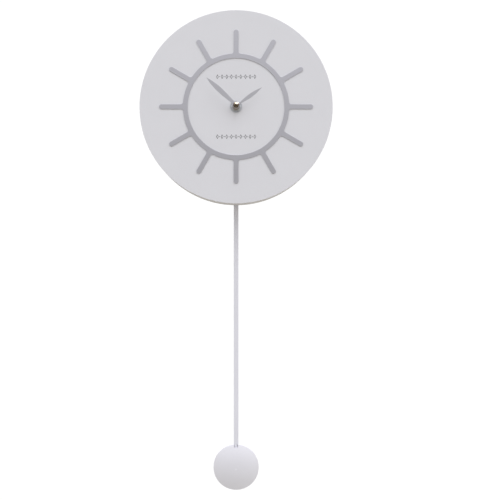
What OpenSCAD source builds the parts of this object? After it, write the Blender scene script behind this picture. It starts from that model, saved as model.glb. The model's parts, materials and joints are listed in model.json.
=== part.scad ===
// Pendulum wall clock: a round white face with a raised sun ring, a deep band behind it, a quartz
// pendulum movement, and a flat rod with a lens-shaped bob.
// Origin: the round entry of the keyhole, on the wall. +Z is up, +X is right as seen from the
// front, and +Y goes into the wall, so the front of the clock faces -Y. All sizes in millimetres.
// "Depth" below means the distance out from the wall.

/* [Face] */
// Diameter of the face board and of the band behind it
dial_d = 240; // [230:1:260]
// Thickness of the face board
dial_t = 6; // [5:0.5:7]
// Radius of the edge rounding at the front of the face board
dial_edge_r = 0.4; // [0.3:0.1:1.5]
// Inner radius of the sun ring
sun_inner_r = 60; // [50:1:64]
// Width of the sun ring's band
sun_band_w = 6; // [5:0.5:8]
// Number of rays, one for each hour
ray_count = 12; // [12]
// Width of a ray
ray_w = 6; // [5:0.5:8]
// Distance from the face's centre to the tip of a ray
ray_tip_r = 95.5; // [85:0.5:105]
// Radius of the fillets where a ray meets the ring
ray_fillet_r = 3; // [1:0.5:4]
// Thickness of the sun ring
sun_t = 0.8; // [0.6:0.1:2]

/* [Case] */
// Gap between the wall and the back edge of the band
wall_gap = 8; // [8:0.5:10]
// Depth of the band, without the face board
case_depth = 32; // [32:0.5:34]
// Wall thickness of the band
case_wall = 8; // [7:0.5:10]
// Height of the keyhole above the centre of the face
hang_rise = 85; // [80:1:88]
// Width of the gap between the two wall spacers, as an angle each side of straight down
spacer_angle = 38; // [30:1:60]

/* [Hanging] */
// Radius of the keyhole's round entry
keyhole_r = 4.5; // [4:0.1:5]
// Width of the keyhole's slot
keyhole_slot_w = 4.6; // [4:0.1:5]
// Distance from the centre of the round entry to the end of the slot's centre line
keyhole_rise = 8; // [7:0.5:9]
// Thickness of the steel keyhole plate
plate_t = 1.5; // [1:0.1:2]

/* [Hands] */
// Hour shown at rest
show_hour = 1; // [0:1:11]
// Minute shown at rest
show_minute = 52.15; // [0:0.05:59.95]
// Angle that the hour hand was pressed on behind its true place
hour_hand_lag = 1.5; // [0:0.5:3]
// Length of the minute hand from its centre
minute_hand_l = 50; // [40:1:56]
// Length of the hour hand from its centre
hour_hand_l = 39.5; // [30:0.5:45]
// Greatest width of the minute hand
minute_hand_w = 6.1; // [4:0.1:7]
// Greatest width of the hour hand
hour_hand_w = 4.7; // [4:0.1:7]
// Thickness of the hands
hand_t = 0.8; // [0.5:0.1:0.8]

/* [Pendulum] */
// Distance from the face's centre down to the pendulum's pivot
pivot_drop = 50; // [48:1:52]
// Distance from the face's centre down to the centre of the bob
bob_drop = 459.2; // [300:0.1:500]
// Width of the flat rod
rod_w = 6.2; // [5:0.1:7]
// Thickness of the flat rod
rod_t = 2; // [1.5:0.1:2]
// Diameter of the bob
bob_d = 58.6; // [50:0.2:70]
// Height of the bob's front dome
bob_front_h = 7; // [5:0.5:9]
// Height of the bob's back dome
bob_back_h = 2; // [1:0.5:2]

/* [Movement] */
// Width of the movement housing
mov_w = 56; // [56]
// Height of the movement housing above the hand centre
mov_top = 28; // [28]
// Height of the movement housing below the hand centre
mov_bottom = 84; // [84:1:86]
// Wall thickness of the movement housing
mov_wall = 1.4; // [1.2:0.1:1.4]
// Diameter of the battery
battery_d = 14.3; // [13.8:0.1:14.5]

/* [Hidden] */

$fn = 96;
fine = 0.05; // running clearance of an arbor in its hole, on the radius
snug = 0.02; // clearance of a pressed or screwed joint, on the radius
loose = 0.15; // clearance of a washer or a wide hole, on the radius

// Face and case, as depths from the wall
dial_r = dial_d / 2;
dial_back = wall_gap + case_depth;
dial_front = dial_back + dial_t;
ring_in_r = dial_r - case_wall;
dial_hole_r = 4.25;
sun_outer_r = sun_inner_r + sun_band_w;
ring_lap = 1; // how far a ray runs into the ring's band
spacer_r = 3.4;

// Hanging
bar_back = plate_t;
bar_t = 12.5;
bar_low = -14;
bar_high = 18;
pocket_r = 6;
pocket_depth = 9;
plate_w = 50;
plate_low = -10;
plate_high = 16;
plate_corner_r = 3;
plate_screw_x = 19;
plate_screw_z = 3;
plate_screw_r = 1.5;
plate_screw_head_r = 3;
plate_screw_l = 12;

// Movement housing, as depths from the wall
gasket_t = 1;
mov_front = dial_back - gasket_t;
mov_depth = 23;
mov_back = mov_front - mov_depth;
cover_t = 2;
cover_in = mov_back + cover_t;
front_wall_in = mov_front - 1.5;
mov_corner_r = 3;
corner_boss_r = 2.8;
corner_boss_inset = 3.6;
cover_screw_r = 1;
cover_screw_l = 9;

// Train plate: its rear face carries the going train, its front face the motion work
train_t = 1.5;
weld = 0.5; // how far a stud or post runs into the plate that it stands on
train_back = mov_back + 12;
train_front = train_back + train_t;
train_low = -10.4;
train_high = 26;
train_half_w = 26;
plate_posts = [[-16, 22.5], [12, 23.5], [11, -8.2], [-16, -7.5]];
plate_post_r = 2.2;
plate_post_screw_r = 0.75;

// Bush and hand stack, as depths from the wall
bush_r = 4;
bush_bore_r = 2.55;
bush_front = dial_front + 4.6;
bush_flange_r = 6;
bush_flange_t = 1.5;
gasket_r = 14;
washer_t = 0.8;
washer_r = 7.5;
nut_t = 2.5;
nut_af = 11;
tube_r = 2.5;
tube_front = bush_front + 2.5;
hour_hand_back = bush_front + 0.9;
minute_hand_back = tube_front + 2.6;
cap_back = minute_hand_back + hand_t + 0.1;
cap_r = 3.6;
cap_rim_h = 1.2;
cap_dome_h = 2.2;
cap_bore_h = 2.2;
arbor_r = 1.4;
arbor_rear_r = 1.2;

// Hands: the shape of each blade, as leaf_half_w takes it, and the hub round its bore
minute_belly = 1.6;
minute_root = 0.19;
minute_hub_r = 3.4;
hour_belly = 1.15;
hour_root = 0;
hour_hub_r = 4;
collar_r = 3.4;
collar_back = 0.7; // how far the hour hand's collar reaches behind its blade
collar_front = 0.5; // and in front of it
minute_angle = 90 - 6 * show_minute;
hour_angle = 90 + hour_hand_lag - 30 * (show_hour + show_minute / 60);

// Gear trains. A module is the pitch diameter over the number of teeth.
motion_m = 0.5;
hour_m = 0.48;
train_m = 0.22;
fast_m = 0.2;
cannon_teeth = 12;
minute_wheel_teeth = 36;
minute_pinion_teeth = 10;
hour_wheel_teeth = 40;
setting_teeth = 12;
centre_teeth = 80;
third_pinion_teeth = 10;
third_teeth = 75;
fourth_pinion_teeth = 10;
fourth_teeth = 60;
fifth_pinion_teeth = 12;
fifth_teeth = 60;
rotor_pinion_teeth = 10;

// Direction from each wheel to the next in its train, seen from the front
minute_wheel_dir = 45;
setting_dir = 20;
third_dir = 60;
fourth_dir = 150;
fifth_dir = 200;
rotor_dir = 250;

function polar(r, a) = [r * cos(a), r * sin(a)];
function spread(m, teeth_a, teeth_b) = m * (teeth_a + teeth_b) / 2;

centre_at = [0, 0];
minute_wheel_at = polar(spread(motion_m, cannon_teeth, minute_wheel_teeth), minute_wheel_dir);
setting_at = minute_wheel_at
    + polar(spread(motion_m, minute_wheel_teeth, setting_teeth), setting_dir);
third_at = polar(spread(train_m, centre_teeth, third_pinion_teeth), third_dir);
fourth_at = third_at + polar(spread(train_m, third_teeth, fourth_pinion_teeth), fourth_dir);
fifth_at = fourth_at + polar(spread(fast_m, fourth_teeth, fifth_pinion_teeth), fifth_dir);
rotor_at = fifth_at + polar(spread(fast_m, fifth_teeth, rotor_pinion_teeth), rotor_dir);

// Phase that puts gear b in mesh with gear a, which has a tooth at phase_a, when b lies in
// direction dir from a
function mesh_phase(phase_a, teeth_a, teeth_b, dir) =
    dir + 180 + 180 / teeth_b - (phase_a - dir) * teeth_a / teeth_b;

cannon_phase = 0;
minute_wheel_phase = mesh_phase(cannon_phase, cannon_teeth, minute_wheel_teeth, minute_wheel_dir);
minute_pinion_phase = minute_wheel_dir;
hour_wheel_phase = mesh_phase(minute_pinion_phase, minute_pinion_teeth, hour_wheel_teeth,
    minute_wheel_dir + 180);
setting_phase = mesh_phase(minute_wheel_phase, minute_wheel_teeth, setting_teeth, setting_dir);
centre_phase = 0;
third_pinion_phase = mesh_phase(centre_phase, centre_teeth, third_pinion_teeth, third_dir);
third_phase = fourth_dir;
fourth_pinion_phase = mesh_phase(third_phase, third_teeth, fourth_pinion_teeth, fourth_dir);
fourth_phase = fifth_dir;
fifth_pinion_phase = mesh_phase(fourth_phase, fourth_teeth, fifth_pinion_teeth, fifth_dir);
fifth_phase = rotor_dir;
rotor_phase = mesh_phase(fifth_phase, fifth_teeth, rotor_pinion_teeth, rotor_dir);

// Depths of the gear layers
centre_layer = train_back - 1.8;
third_layer = train_back - 4;
fourth_layer = train_back - 6.2;
fifth_layer = train_back - 8.4;
wheel_t = 1.2;
pinion_t = 1.8;
pinion_lap = (pinion_t - wheel_t) / 2;
pivot_end = cover_in - 1;
pivot_r = 0.5;
motion_layer = train_front + 0.6;
motion_t = 2;
hour_layer = train_front + 4.5;
hour_t = 1.5;
stud_r = 0.8;
stud_l = 7.3;
setting_shaft_r = 1.5;
knob_r = 6;
knob_h = 3.2;
knob_gap = 0.4;
knob_grooves = 20;

// Stepper motor
stator_back = train_back - 4.6;
stator_t = 1;
stator_front = stator_back + 2 * stator_t;
stator_hole_r = 3.6;
rotor_magnet_r = 3;
coil_x = -22;
coil_low = -1;
coil_high = 14.5;
core_low = -7.2;
core_high = 20.4;
core_half_w = 2;
stator_screw_z = [-4.8, 17.8];
stator_screw_r = 0.7;
stator_post_r = 1.8;

// Battery, lying across the movement
battery_z = -20;
battery_bay_h = 15;
battery_centre = cover_in + 7.4;
battery_low_x = -25.1;
battery_can_l = 49.2;
battery_nub_l = 1.2;
battery_nub_r = 2.75;
contact_t = 0.4;
bay_half_w = mov_w / 2 - mov_wall;
rib_t = 1;

// Pendulum drive and suspension
drive_drop = 70;
drive_coil_r = 11;
drive_flange_r = 12;
drive_flange_t = 0.8;
drive_hub_r = 4;
drive_post_r = 2.4;
drive_seat_r = 5.7;
bobbin_back = cover_in + 1.4;
bobbin_front = bobbin_back + 7;
drive_post_back = bobbin_back + 0.6;
pivot_pin_r = 1.5;
pivot_boss_r = 4;
pivot_boss_l = 7;
arm_back = mov_back - 6.4;
arm_t = 2.8;
arm_w = 7;
arm_hub_r = 5;
hook_drop = mov_bottom + 8;
drive_at = [0, -drive_drop];
pivot_at = [0, -pivot_drop];
hook_at = [0, -hook_drop];
magnet_r = 5;
magnet_gap = 0.6;
rod_back = wall_gap - 2 - rod_t;
bob_back = 1.5;
bob_t = bob_back_h + 3 + bob_front_h;
rod_in_bob = 10;
rod_shoulder = bob_drop - bob_d / 2 - 0.6; // where the rod narrows to its tongue
tongue_w = 3.4;
notch_w = tongue_w + 1;
notch_l = 3.8;

// Places children with their XY plane parallel to the wall at a given depth. Their +Z comes
// out from the wall, and at = [x, z] is measured from the centre of the face.
module at_depth(depth, at = [0, 0]) {
    translate([at[0], -depth, at[1] - hang_rise]) rotate([90, 0, 0]) children();
}

module disc(depth, t, r, at = [0, 0]) {
    at_depth(depth, at) cylinder(h = t, r = r);
}

module tube(depth, t, r_out, r_in, at = [0, 0]) {
    at_depth(depth, at) difference() {
        cylinder(h = t, r = r_out);
        translate([0, 0, -1]) cylinder(h = t + 2, r = r_in);
    }
}

// A flat block between two corners [x, z], measured from the centre of the face
module slab(depth, t, low, high) {
    at_depth(depth) translate([low[0], low[1], 0]) cube([high[0] - low[0], high[1] - low[1], t]);
}

module rounded_rect(low, high, r) {
    translate([low[0] + r, low[1]]) square([high[0] - low[0] - 2 * r, high[1] - low[1]]);
    translate([low[0], low[1] + r]) square([high[0] - low[0], high[1] - low[1] - 2 * r]);
    for (x = [low[0] + r, high[0] - r], y = [low[1] + r, high[1] - r])
        translate([x, y]) circle(r);
}

// Outline of a clock gear with straight-sided teeth: root and tip widths are shares of the pitch
function gear_points(m, teeth, phase) = [
    for (i = [0:teeth - 1], p = [[-1.2, -0.25], [0.85, -0.08], [0.85, 0.08], [-1.2, 0.25]])
        polar(m * (teeth / 2 + p[0]), phase + (i + p[1]) * 360 / teeth)
];

module gear(depth, t, m, teeth, phase, at) {
    at_depth(depth, at) linear_extrude(height = t) polygon(gear_points(m, teeth, phase));
}

// Outline of a leaf hand along +X: half its width at a share s of its length. A larger belly
// moves the widest place towards the tip, and a larger root widens the end at the hub.
function leaf_half_w(w, s, belly, root) = w / 2 * sin(180 * (root + (1 - root) * pow(s, belly)));

module leaf_hand(length, w, belly, root, hub_r, bore_r) {
    steps = 24;
    start = 0.8 * hub_r / length;
    shares = [for (i = [0:steps - 1]) start + (1 - start) * i / steps];
    upper = [for (s = shares) [length * s, leaf_half_w(w, s, belly, root)]];
    lower = [for (i = [steps - 1:-1:0]) [upper[i][0], -upper[i][1]]];
    difference() {
        union() {
            polygon(concat(upper, [[length, 0]], lower));
            circle(hub_r);
        }
        circle(bore_r);
    }
}

// ---- Face and case ----

module dial_panel() {
    color("whitesmoke") at_depth(dial_back) rotate_extrude() difference() {
        union() {
            square([dial_r, dial_t - dial_edge_r]);
            square([dial_r - dial_edge_r, dial_t]);
            translate([dial_r - dial_edge_r, dial_t - dial_edge_r]) circle(dial_edge_r);
        }
        translate([-dial_r, -1]) square([dial_r + dial_hole_r, dial_t + 2]);
    }
}

// Fills the corner between a ray and the ring, on the side given by +1 or -1
module ray_fillet(side) {
    centre_x = ray_w / 2 + ray_fillet_r;
    centre_y = sqrt(pow(sun_outer_r + ray_fillet_r, 2) - pow(centre_x, 2));
    touch = sun_outer_r / (sun_outer_r + ray_fillet_r);
    difference() {
        polygon([[0, centre_y], [side * centre_x, centre_y],
            [side * centre_x * touch, centre_y * touch], [0, sun_outer_r - ring_lap]]);
        translate([side * centre_x, centre_y]) circle(ray_fillet_r);
    }
}

module sun_ring() {
    color("darkgray") at_depth(dial_front) linear_extrude(height = sun_t) {
        difference() {
            circle(sun_outer_r);
            circle(sun_inner_r);
        }
        for (i = [0:ray_count - 1]) rotate(i * 360 / ray_count) {
            translate([-ray_w / 2, sun_outer_r - ring_lap])
                square([ray_w, ray_tip_r - ray_w / 2 - sun_outer_r + ring_lap]);
            translate([0, ray_tip_r - ray_w / 2]) circle(ray_w / 2);
            for (side = [-1, 1]) ray_fillet(side);
        }
    }
}

module case_ring() {
    color("gainsboro") tube(wall_gap, case_depth, dial_r, ring_in_r);
}

// ---- Hanging ----

module keyhole_outline() {
    circle(keyhole_r);
    translate([-keyhole_slot_w / 2, 0]) square([keyhole_slot_w, keyhole_rise]);
    translate([0, keyhole_rise]) circle(keyhole_slot_w / 2);
}

module hanger_bar() {
    bar_at = [0, hang_rise];
    color("burlywood") difference() {
        intersection() {
            disc(bar_back, bar_t, ring_in_r - snug);
            slab(bar_back, bar_t, [-ring_in_r, hang_rise + bar_low],
                [ring_in_r, hang_rise + bar_high]);
        }
        at_depth(bar_back - 1, bar_at) {
            cylinder(h = pocket_depth + 1, r = pocket_r);
            translate([-pocket_r, 0, 0]) cube([2 * pocket_r, keyhole_rise, pocket_depth + 1]);
            translate([0, keyhole_rise, 0]) cylinder(h = pocket_depth + 1, r = pocket_r);
            for (x = [-plate_screw_x, plate_screw_x]) translate([x, plate_screw_z, 0])
                cylinder(h = plate_screw_l, r = plate_screw_r + fine);
        }
    }
}

module keyhole_plate() {
    over = 1; // how far the cutters run past the plate
    color("silver") difference() {
        at_depth(0, [0, hang_rise]) linear_extrude(height = plate_t) difference() {
            rounded_rect([-plate_w / 2, plate_low], [plate_w / 2, plate_high], plate_corner_r);
            keyhole_outline();
        }
        for (x = [-plate_screw_x, plate_screw_x])
            at_depth(-over, [x, hang_rise + plate_screw_z]) {
                cylinder(h = plate_t + 2 * over, r = plate_screw_r + 2 * loose);
                cylinder(h = over + plate_screw_head_r - plate_screw_r,
                    r1 = plate_screw_head_r + over, r2 = plate_screw_r);
            }
    }
}

// Countersunk screws, head towards the wall
module keyhole_screws() {
    head_back = 0.15;
    head_r = plate_screw_head_r - head_back - 0.1;
    recess_l = 3.2;
    recess_w = 0.6;
    recess_h = 0.8;
    color("gray") for (x = [-plate_screw_x, plate_screw_x])
        at_depth(head_back, [x, hang_rise + plate_screw_z]) difference() {
            union() {
                cylinder(h = head_r - plate_screw_r, r1 = head_r, r2 = plate_screw_r);
                cylinder(h = plate_screw_l - 1.5, r = plate_screw_r);
            }
            for (a = [0, 90]) rotate(a) translate([-recess_l / 2, -recess_w / 2, -0.1])
                cube([recess_l, recess_w, recess_h + 0.1]);
        }
}

module wall_spacers() {
    mid_r = (dial_r + ring_in_r) / 2;
    color("dimgray") for (side = [-1, 1])
        disc(0, wall_gap, spacer_r, polar(mid_r, -90 + side * spacer_angle));
}

// ---- Movement housing ----

mov_low = [-mov_w / 2, -mov_bottom];
mov_high = [mov_w / 2, mov_top];
boss_x = mov_w / 2 - corner_boss_inset;
corner_bosses = [for (x = [-boss_x, boss_x], z = [mov_top - corner_boss_inset,
    -mov_bottom + corner_boss_inset]) [x, z]];

module movement_case() {
    shell_h = mov_front - cover_in;
    inner_h = front_wall_in - cover_in;
    color("darkslategray") difference() {
        union() {
            at_depth(cover_in) difference() {
                linear_extrude(height = shell_h) rounded_rect(mov_low, mov_high, mov_corner_r);
                translate([0, 0, -1]) linear_extrude(height = inner_h + 1)
                    rounded_rect([mov_low[0] + mov_wall, mov_low[1] + mov_wall],
                        [mov_high[0] - mov_wall, mov_high[1] - mov_wall], mov_corner_r - 1);
            }
            for (at = corner_bosses) disc(cover_in, inner_h, corner_boss_r, at);
            for (at = plate_posts) disc(train_front, front_wall_in - train_front, plate_post_r, at);
            for (z = [battery_z + battery_bay_h / 2 + rib_t, battery_z - battery_bay_h / 2])
                slab(cover_in, inner_h, [-bay_half_w, z - rib_t], [bay_half_w, z]);
            disc(bobbin_front, front_wall_in - bobbin_front, drive_seat_r, drive_at);
            disc(drive_post_back, front_wall_in - drive_post_back, drive_post_r, drive_at);
        }
        disc(front_wall_in - 1, mov_front - front_wall_in + 2, bush_r + fine);
        for (at = corner_bosses) disc(cover_in - 1, cover_screw_l, cover_screw_r + fine, at);
        for (at = plate_posts) disc(train_front - 1, 6, plate_post_screw_r + fine, at);
    }
}

module movement_back_cover() {
    color("dimgray") difference() {
        union() {
            at_depth(mov_back) linear_extrude(height = cover_t)
                rounded_rect(mov_low, mov_high, mov_corner_r);
            disc(cover_in, pivot_boss_l, pivot_boss_r, pivot_at);
        }
        slab(mov_back - 1, cover_t + 2, [-bay_half_w, battery_z - battery_bay_h / 2],
            [bay_half_w, battery_z + battery_bay_h / 2]);
        disc(mov_back - 1, cover_t + pivot_boss_l, pivot_pin_r + snug, pivot_at);
        disc(mov_back - 1, cover_t + 2, setting_shaft_r + fine, setting_at);
        for (at = corner_bosses) disc(mov_back - 1, cover_t + 2, cover_screw_r + 0.2, at);
        for (at = [centre_at, third_at, fourth_at, fifth_at, rotor_at])
            disc(cover_in - 1.2, 2, pivot_r + fine, at);
    }
}

module pan_screw(depth, head_h, head_r, shank_l, shank_r, at) {
    at_depth(depth, at) difference() {
        union() {
            cylinder(h = head_h, r = head_r);
            cylinder(h = head_h + shank_l, r = shank_r);
        }
        for (a = [0, 90]) rotate(a)
            translate([-head_r * 0.6, -head_r * 0.12, -1]) cube([head_r * 1.2, head_r * 0.24, 1.5]);
    }
}

module back_cover_screws() {
    head_h = 1.2;
    head_r = 1.9;
    color("silver") for (at = corner_bosses)
        pan_screw(mov_back - head_h, head_h, head_r, cover_screw_l, cover_screw_r, at);
}

module train_plate() {
    color("ivory") difference() {
        union() {
            slab(train_back, train_t, [-train_half_w, train_low], [train_half_w, train_high]);
            disc(train_front - weld, stud_l, stud_r, minute_wheel_at);
            for (z = stator_screw_z)
                disc(stator_front, train_back - stator_front + weld, stator_post_r, [coil_x, z]);
        }
        for (at = corner_bosses) disc(train_back - 1, train_t + 2, corner_boss_r + 0.4, at);
        for (at = plate_posts) disc(train_back - 1, train_t + 2, plate_post_screw_r + 0.1, at);
        for (at = [third_at, fourth_at, fifth_at, rotor_at])
            disc(train_back - 1, train_t + 2, pivot_r + fine, at);
        disc(train_back - 1, train_t + 2, arbor_rear_r + fine, centre_at);
        disc(train_back - 1, train_t + 2, setting_shaft_r + fine, setting_at);
        for (z = stator_screw_z)
            disc(stator_back, train_back - stator_back, stator_screw_r + fine, [coil_x, z]);
    }
}

module train_plate_screws() {
    head_h = 1;
    head_r = 1.7;
    shank_l = 5.5;
    color("silver") for (at = plate_posts)
        pan_screw(train_back - head_h, head_h, head_r, shank_l, plate_post_screw_r, at);
}

// ---- Bush that clamps the movement to the face ----

module centre_bush() {
    thread_pitch = 0.75;
    thread_depth = 0.3;
    thread_low = mov_front - front_wall_in;
    thread_high = bush_front - front_wall_in;
    turns = floor((thread_high - thread_low) / thread_pitch);
    thread = [for (i = [0:turns - 1], p = [[0, 0], [-thread_depth, 0.5]])
        [bush_r + p[0], thread_low + (i + p[1]) * thread_pitch]];
    color("goldenrod") {
        at_depth(front_wall_in) rotate_extrude() polygon(concat(
            [[bush_bore_r, -bush_flange_t], [bush_flange_r, -bush_flange_t], [bush_flange_r, 0],
                [bush_r, 0]],
            thread, [[bush_r - thread_depth, thread_high], [bush_bore_r, thread_high]]));
    }
}

module bush_gasket() {
    color("black") tube(mov_front, gasket_t, gasket_r, bush_r + fine);
}

module bush_washer() {
    color("silver") tube(dial_front, washer_t, washer_r, bush_r + loose);
}

module bush_nut() {
    color("silver") at_depth(dial_front + washer_t) difference() {
        cylinder(h = nut_t, r = nut_af / sqrt(3), $fn = 6);
        translate([0, 0, -1]) cylinder(h = nut_t + 2, r = bush_r + snug);
    }
}

// ---- Motion work: minute arbor, minute wheel, hour wheel and setting knob ----

module minute_arbor() {
    color("gold") {
        disc(pivot_end, 2, pivot_r);
        disc(pivot_end + 2, motion_layer - pivot_end - 2, arbor_rear_r);
        gear(motion_layer, motion_t, motion_m, cannon_teeth, cannon_phase, centre_at);
        disc(motion_layer + motion_t, cap_back + 2 - motion_layer - motion_t, arbor_r);
    }
}

module minute_hand() {
    color("gray") at_depth(minute_hand_back) rotate(minute_angle) {
        linear_extrude(height = hand_t)
            leaf_hand(minute_hand_l, minute_hand_w, minute_belly, minute_root, minute_hub_r,
                arbor_r + snug);
    }
}

module hand_cap() {
    dome_r = (pow(cap_r, 2) + pow(cap_dome_h, 2)) / (2 * cap_dome_h);
    color("silver") at_depth(cap_back) difference() {
        union() {
            cylinder(h = cap_rim_h, r = cap_r);
            intersection() {
                translate([0, 0, cap_rim_h + cap_dome_h - dome_r]) sphere(dome_r);
                translate([0, 0, cap_rim_h]) cylinder(h = cap_dome_h + 1, r = cap_r);
            }
        }
        translate([0, 0, -1]) cylinder(h = cap_bore_h + 1, r = arbor_r + snug);
    }
}

module minute_wheel() {
    pinion_top = hour_layer + hour_t + 0.5;
    color("ivory") difference() {
        union() {
            gear(motion_layer + 0.2, 1.5, motion_m, minute_wheel_teeth, minute_wheel_phase,
                minute_wheel_at);
            gear(motion_layer + 1.5, pinion_top - motion_layer - 1.5, hour_m, minute_pinion_teeth,
                minute_pinion_phase, minute_wheel_at);
        }
        disc(motion_layer - 1, 10, stud_r + fine, minute_wheel_at);
    }
}

module hour_wheel() {
    tube_back = motion_layer + motion_t + 0.2;
    color("ivory") difference() {
        union() {
            gear(hour_layer, hour_t, hour_m, hour_wheel_teeth, hour_wheel_phase, centre_at);
            disc(tube_back, tube_front - tube_back, tube_r);
        }
        disc(tube_back - 1, tube_front - tube_back + 2, arbor_r + fine);
    }
}

module hour_hand() {
    color("gray") at_depth(hour_hand_back) rotate(hour_angle) {
        linear_extrude(height = hand_t)
            leaf_hand(hour_hand_l, hour_hand_w, hour_belly, hour_root, hour_hub_r, tube_r + snug);
        difference() {
            translate([0, 0, -collar_back])
                cylinder(h = collar_back + hand_t + collar_front, r = collar_r);
            translate([0, 0, -1]) cylinder(h = hand_t + 3, r = tube_r + snug);
        }
    }
}

module setting_pinion() {
    shaft_back = mov_back - knob_gap - knob_h + 0.8;
    color("ivory") {
        gear(motion_layer, motion_t, motion_m, setting_teeth, setting_phase, setting_at);
        disc(shaft_back, motion_layer - shaft_back, setting_shaft_r, setting_at);
    }
}

module setting_knob() {
    knob_back = mov_back - knob_gap - knob_h;
    color("black") difference() {
        disc(knob_back, knob_h, knob_r, setting_at);
        disc(knob_back + 0.8, knob_h, setting_shaft_r + snug, setting_at);
        for (i = [0:knob_grooves - 1])
            disc(knob_back - 1, knob_h + 2, 0.45,
                setting_at + polar(knob_r, i * 360 / knob_grooves));
        tube(knob_back - 1, 1.5, 4.4, 2.2, setting_at);
    }
}

// ---- Going train ----

// A wheel and its pinion on one arbor between the back cover and the train plate
module arbor_wheel(wheel_layer, wheel_teeth, wheel_m, wheel_phase, pinion_layer, pinion_teeth,
        pinion_m, pinion_phase, at) {
    gear(wheel_layer, wheel_t, wheel_m, wheel_teeth, wheel_phase, at);
    gear(pinion_layer - pinion_lap, pinion_t, pinion_m, pinion_teeth, pinion_phase, at);
    disc(pivot_end, train_front - 0.2 - pivot_end, pivot_r, at);
}

module centre_wheel() {
    color("ivory") difference() {
        union() {
            gear(centre_layer, wheel_t, train_m, centre_teeth, centre_phase, centre_at);
            disc(centre_layer - 1, wheel_t + 1.2, 2.2);
        }
        disc(centre_layer - 2, 6, arbor_rear_r + fine);
    }
}

module third_wheel() {
    color("ivory") arbor_wheel(third_layer, third_teeth, train_m, third_phase, centre_layer,
        third_pinion_teeth, train_m, third_pinion_phase, third_at);
}

module fourth_wheel() {
    color("ivory") arbor_wheel(fourth_layer, fourth_teeth, fast_m, fourth_phase, third_layer,
        fourth_pinion_teeth, train_m, fourth_pinion_phase, fourth_at);
}

module fifth_wheel() {
    color("ivory") arbor_wheel(fifth_layer, fifth_teeth, fast_m, fifth_phase, fourth_layer,
        fifth_pinion_teeth, fast_m, fifth_pinion_phase, fifth_at);
}

module rotor_pinion() {
    color("ivory") {
        gear(fifth_layer - pinion_lap, pinion_t, fast_m, rotor_pinion_teeth, rotor_phase, rotor_at);
        disc(pivot_end, train_front - 0.2 - pivot_end, pivot_r, rotor_at);
    }
}

module rotor_magnet() {
    color("dimgray") tube(stator_back - 0.8, 2.6, rotor_magnet_r, pivot_r, rotor_at);
}

// ---- Stepper motor and electronics ----

module stator() {
    inner_x = coil_x + 5;
    outer_x = coil_x - 4;
    ring_r = 5;
    color("slategray") at_depth(stator_back) linear_extrude(height = stator_t) difference() {
        union() {
            translate(rotor_at) circle(ring_r);
            polygon([[rotor_at[0], rotor_at[1] - ring_r], rotor_at, [inner_x, 3],
                [inner_x, coil_low - 0.6], [outer_x, coil_low - 0.6], [outer_x, core_low],
                [coil_x + 3, core_low]]);
            polygon([rotor_at, [rotor_at[0], rotor_at[1] + ring_r], [inner_x, coil_high + 4],
                [inner_x, core_high], [outer_x, core_high], [outer_x, coil_high + 0.6],
                [inner_x, coil_high + 0.6], [inner_x, 3]]);
        }
        translate(rotor_at) circle(stator_hole_r);
        for (z = stator_screw_z) translate([coil_x, z]) circle(stator_screw_r + fine);
    }
}

module stator_screws() {
    head_h = 1;
    head_r = 1.5;
    shank_l = train_back - stator_back - 0.3;
    color("silver") for (z = stator_screw_z)
        pan_screw(stator_back - head_h, head_h, head_r, shank_l, stator_screw_r, [coil_x, z]);
}

module coil_core() {
    color("slategray") at_depth(stator_back + stator_t) linear_extrude(height = stator_t)
        difference() {
            translate([coil_x - core_half_w, core_low])
                square([2 * core_half_w, core_high - core_low]);
            for (z = stator_screw_z) translate([coil_x, z]) circle(stator_screw_r + fine);
        }
}

core_mid = stator_back + 1.5 * stator_t;

// A block around the coil core, with the given outer half width, half depth and inner ones
module core_sleeve(low_z, high_z, half_w, half_t, in_half_w, in_half_t) {
    difference() {
        slab(core_mid - half_t, 2 * half_t, [coil_x - half_w, low_z], [coil_x + half_w, high_z]);
        slab(core_mid - in_half_t, 2 * in_half_t, [coil_x - in_half_w, low_z - 1],
            [coil_x + in_half_w, high_z + 1]);
    }
}

module stepper_bobbin() {
    core_fit = core_half_w + fine;
    core_fit_t = stator_t / 2 + fine;
    color("white") {
        core_sleeve(coil_low, coil_high, 2.6, 1.1, core_fit, core_fit_t);
        core_sleeve(coil_low, coil_low + 0.8, 4.4, 3, core_fit, core_fit_t);
        core_sleeve(coil_high - 0.8, coil_high, 4.4, 3, core_fit, core_fit_t);
    }
}

module stepper_coil() {
    color("chocolate") core_sleeve(coil_low + 0.9, coil_high - 0.9, 4, 2.7, 2.65, 1.15);
}

board_low = [14.8, -9.5];
board_high = [26, 5];
board_back = train_back - 2;
board_t = 1;

module circuit_board() {
    color("darkgreen") difference() {
        slab(board_back, board_t, board_low, board_high);
        disc(board_back - 1, board_t + 2, 0.6, board_low + [1.5, 1.5]);
        disc(board_back - 1, board_t + 2, 0.6, board_high - [1.5, 1.5]);
    }
}

module chip_cover() {
    blob_r = 2.6;
    blob_h = 1.4;
    ball_r = 3.05;
    color("black") at_depth(board_back, [19.5, 0.8]) intersection() {
        translate([0, 0, ball_r - blob_h - fine]) sphere(ball_r);
        translate([0, 0, -blob_h]) cylinder(h = blob_h, r = blob_r);
    }
}

module quartz_crystal() {
    can_r = 1;
    can_l = 6;
    base_r = 0.8;
    base_l = 0.8;
    can_at = [17.2, -6.8];
    color("silver") at_depth(board_back - can_r - fine, can_at) rotate([0, 90, 0]) {
        cylinder(h = can_l, r = can_r);
        translate([0, 0, can_l]) cylinder(h = base_l, r = base_r);
    }
}

// ---- Battery ----

module battery_contact_positive() {
    face_x = battery_low_x + battery_can_l + battery_nub_l + 0.1;
    color("silver") {
        slab(cover_in + 2, 11, [face_x, battery_z - 5], [face_x + contact_t, battery_z + 5]);
        slab(cover_in + 12.6, contact_t, [face_x, battery_z - 2],
            [bay_half_w, battery_z + 2]);
    }
}

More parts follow.
